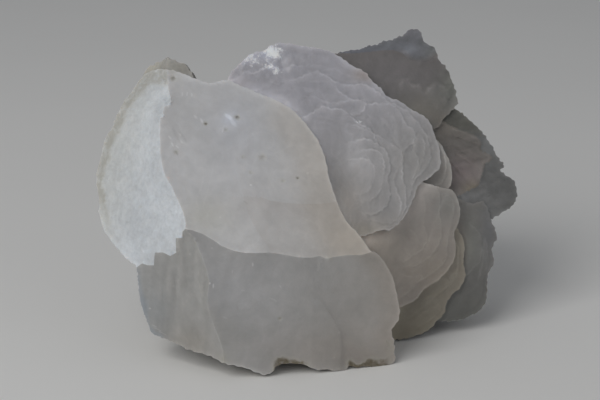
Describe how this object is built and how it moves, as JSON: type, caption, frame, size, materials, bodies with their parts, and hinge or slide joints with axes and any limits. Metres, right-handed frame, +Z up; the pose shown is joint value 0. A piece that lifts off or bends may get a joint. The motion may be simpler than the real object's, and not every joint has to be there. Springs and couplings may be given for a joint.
{
  "type": "calcite crystal cluster",
  "caption": "Intergrown tabular calcite crystals: a large faceted front crystal, scalloped terraces behind it and plates fanned to the right, standing on a flat broken foot.",
  "frame": {"origin": "on the surface that the cluster stands on, under the middle of its bounding box", "axes": "+X to the right across the broad front faces, the longest extent; the large faceted crystal faces -Y; +Z up"},
  "size_m": [0.132, 0.0936, 0.0908],
  "materials": {
    "calcite": "milky, translucent, waxy to glassy growth faces"
  },
  "bodies": {
    "root": {"calcite_cluster": "calcite"}
  },
  "joints": []
}
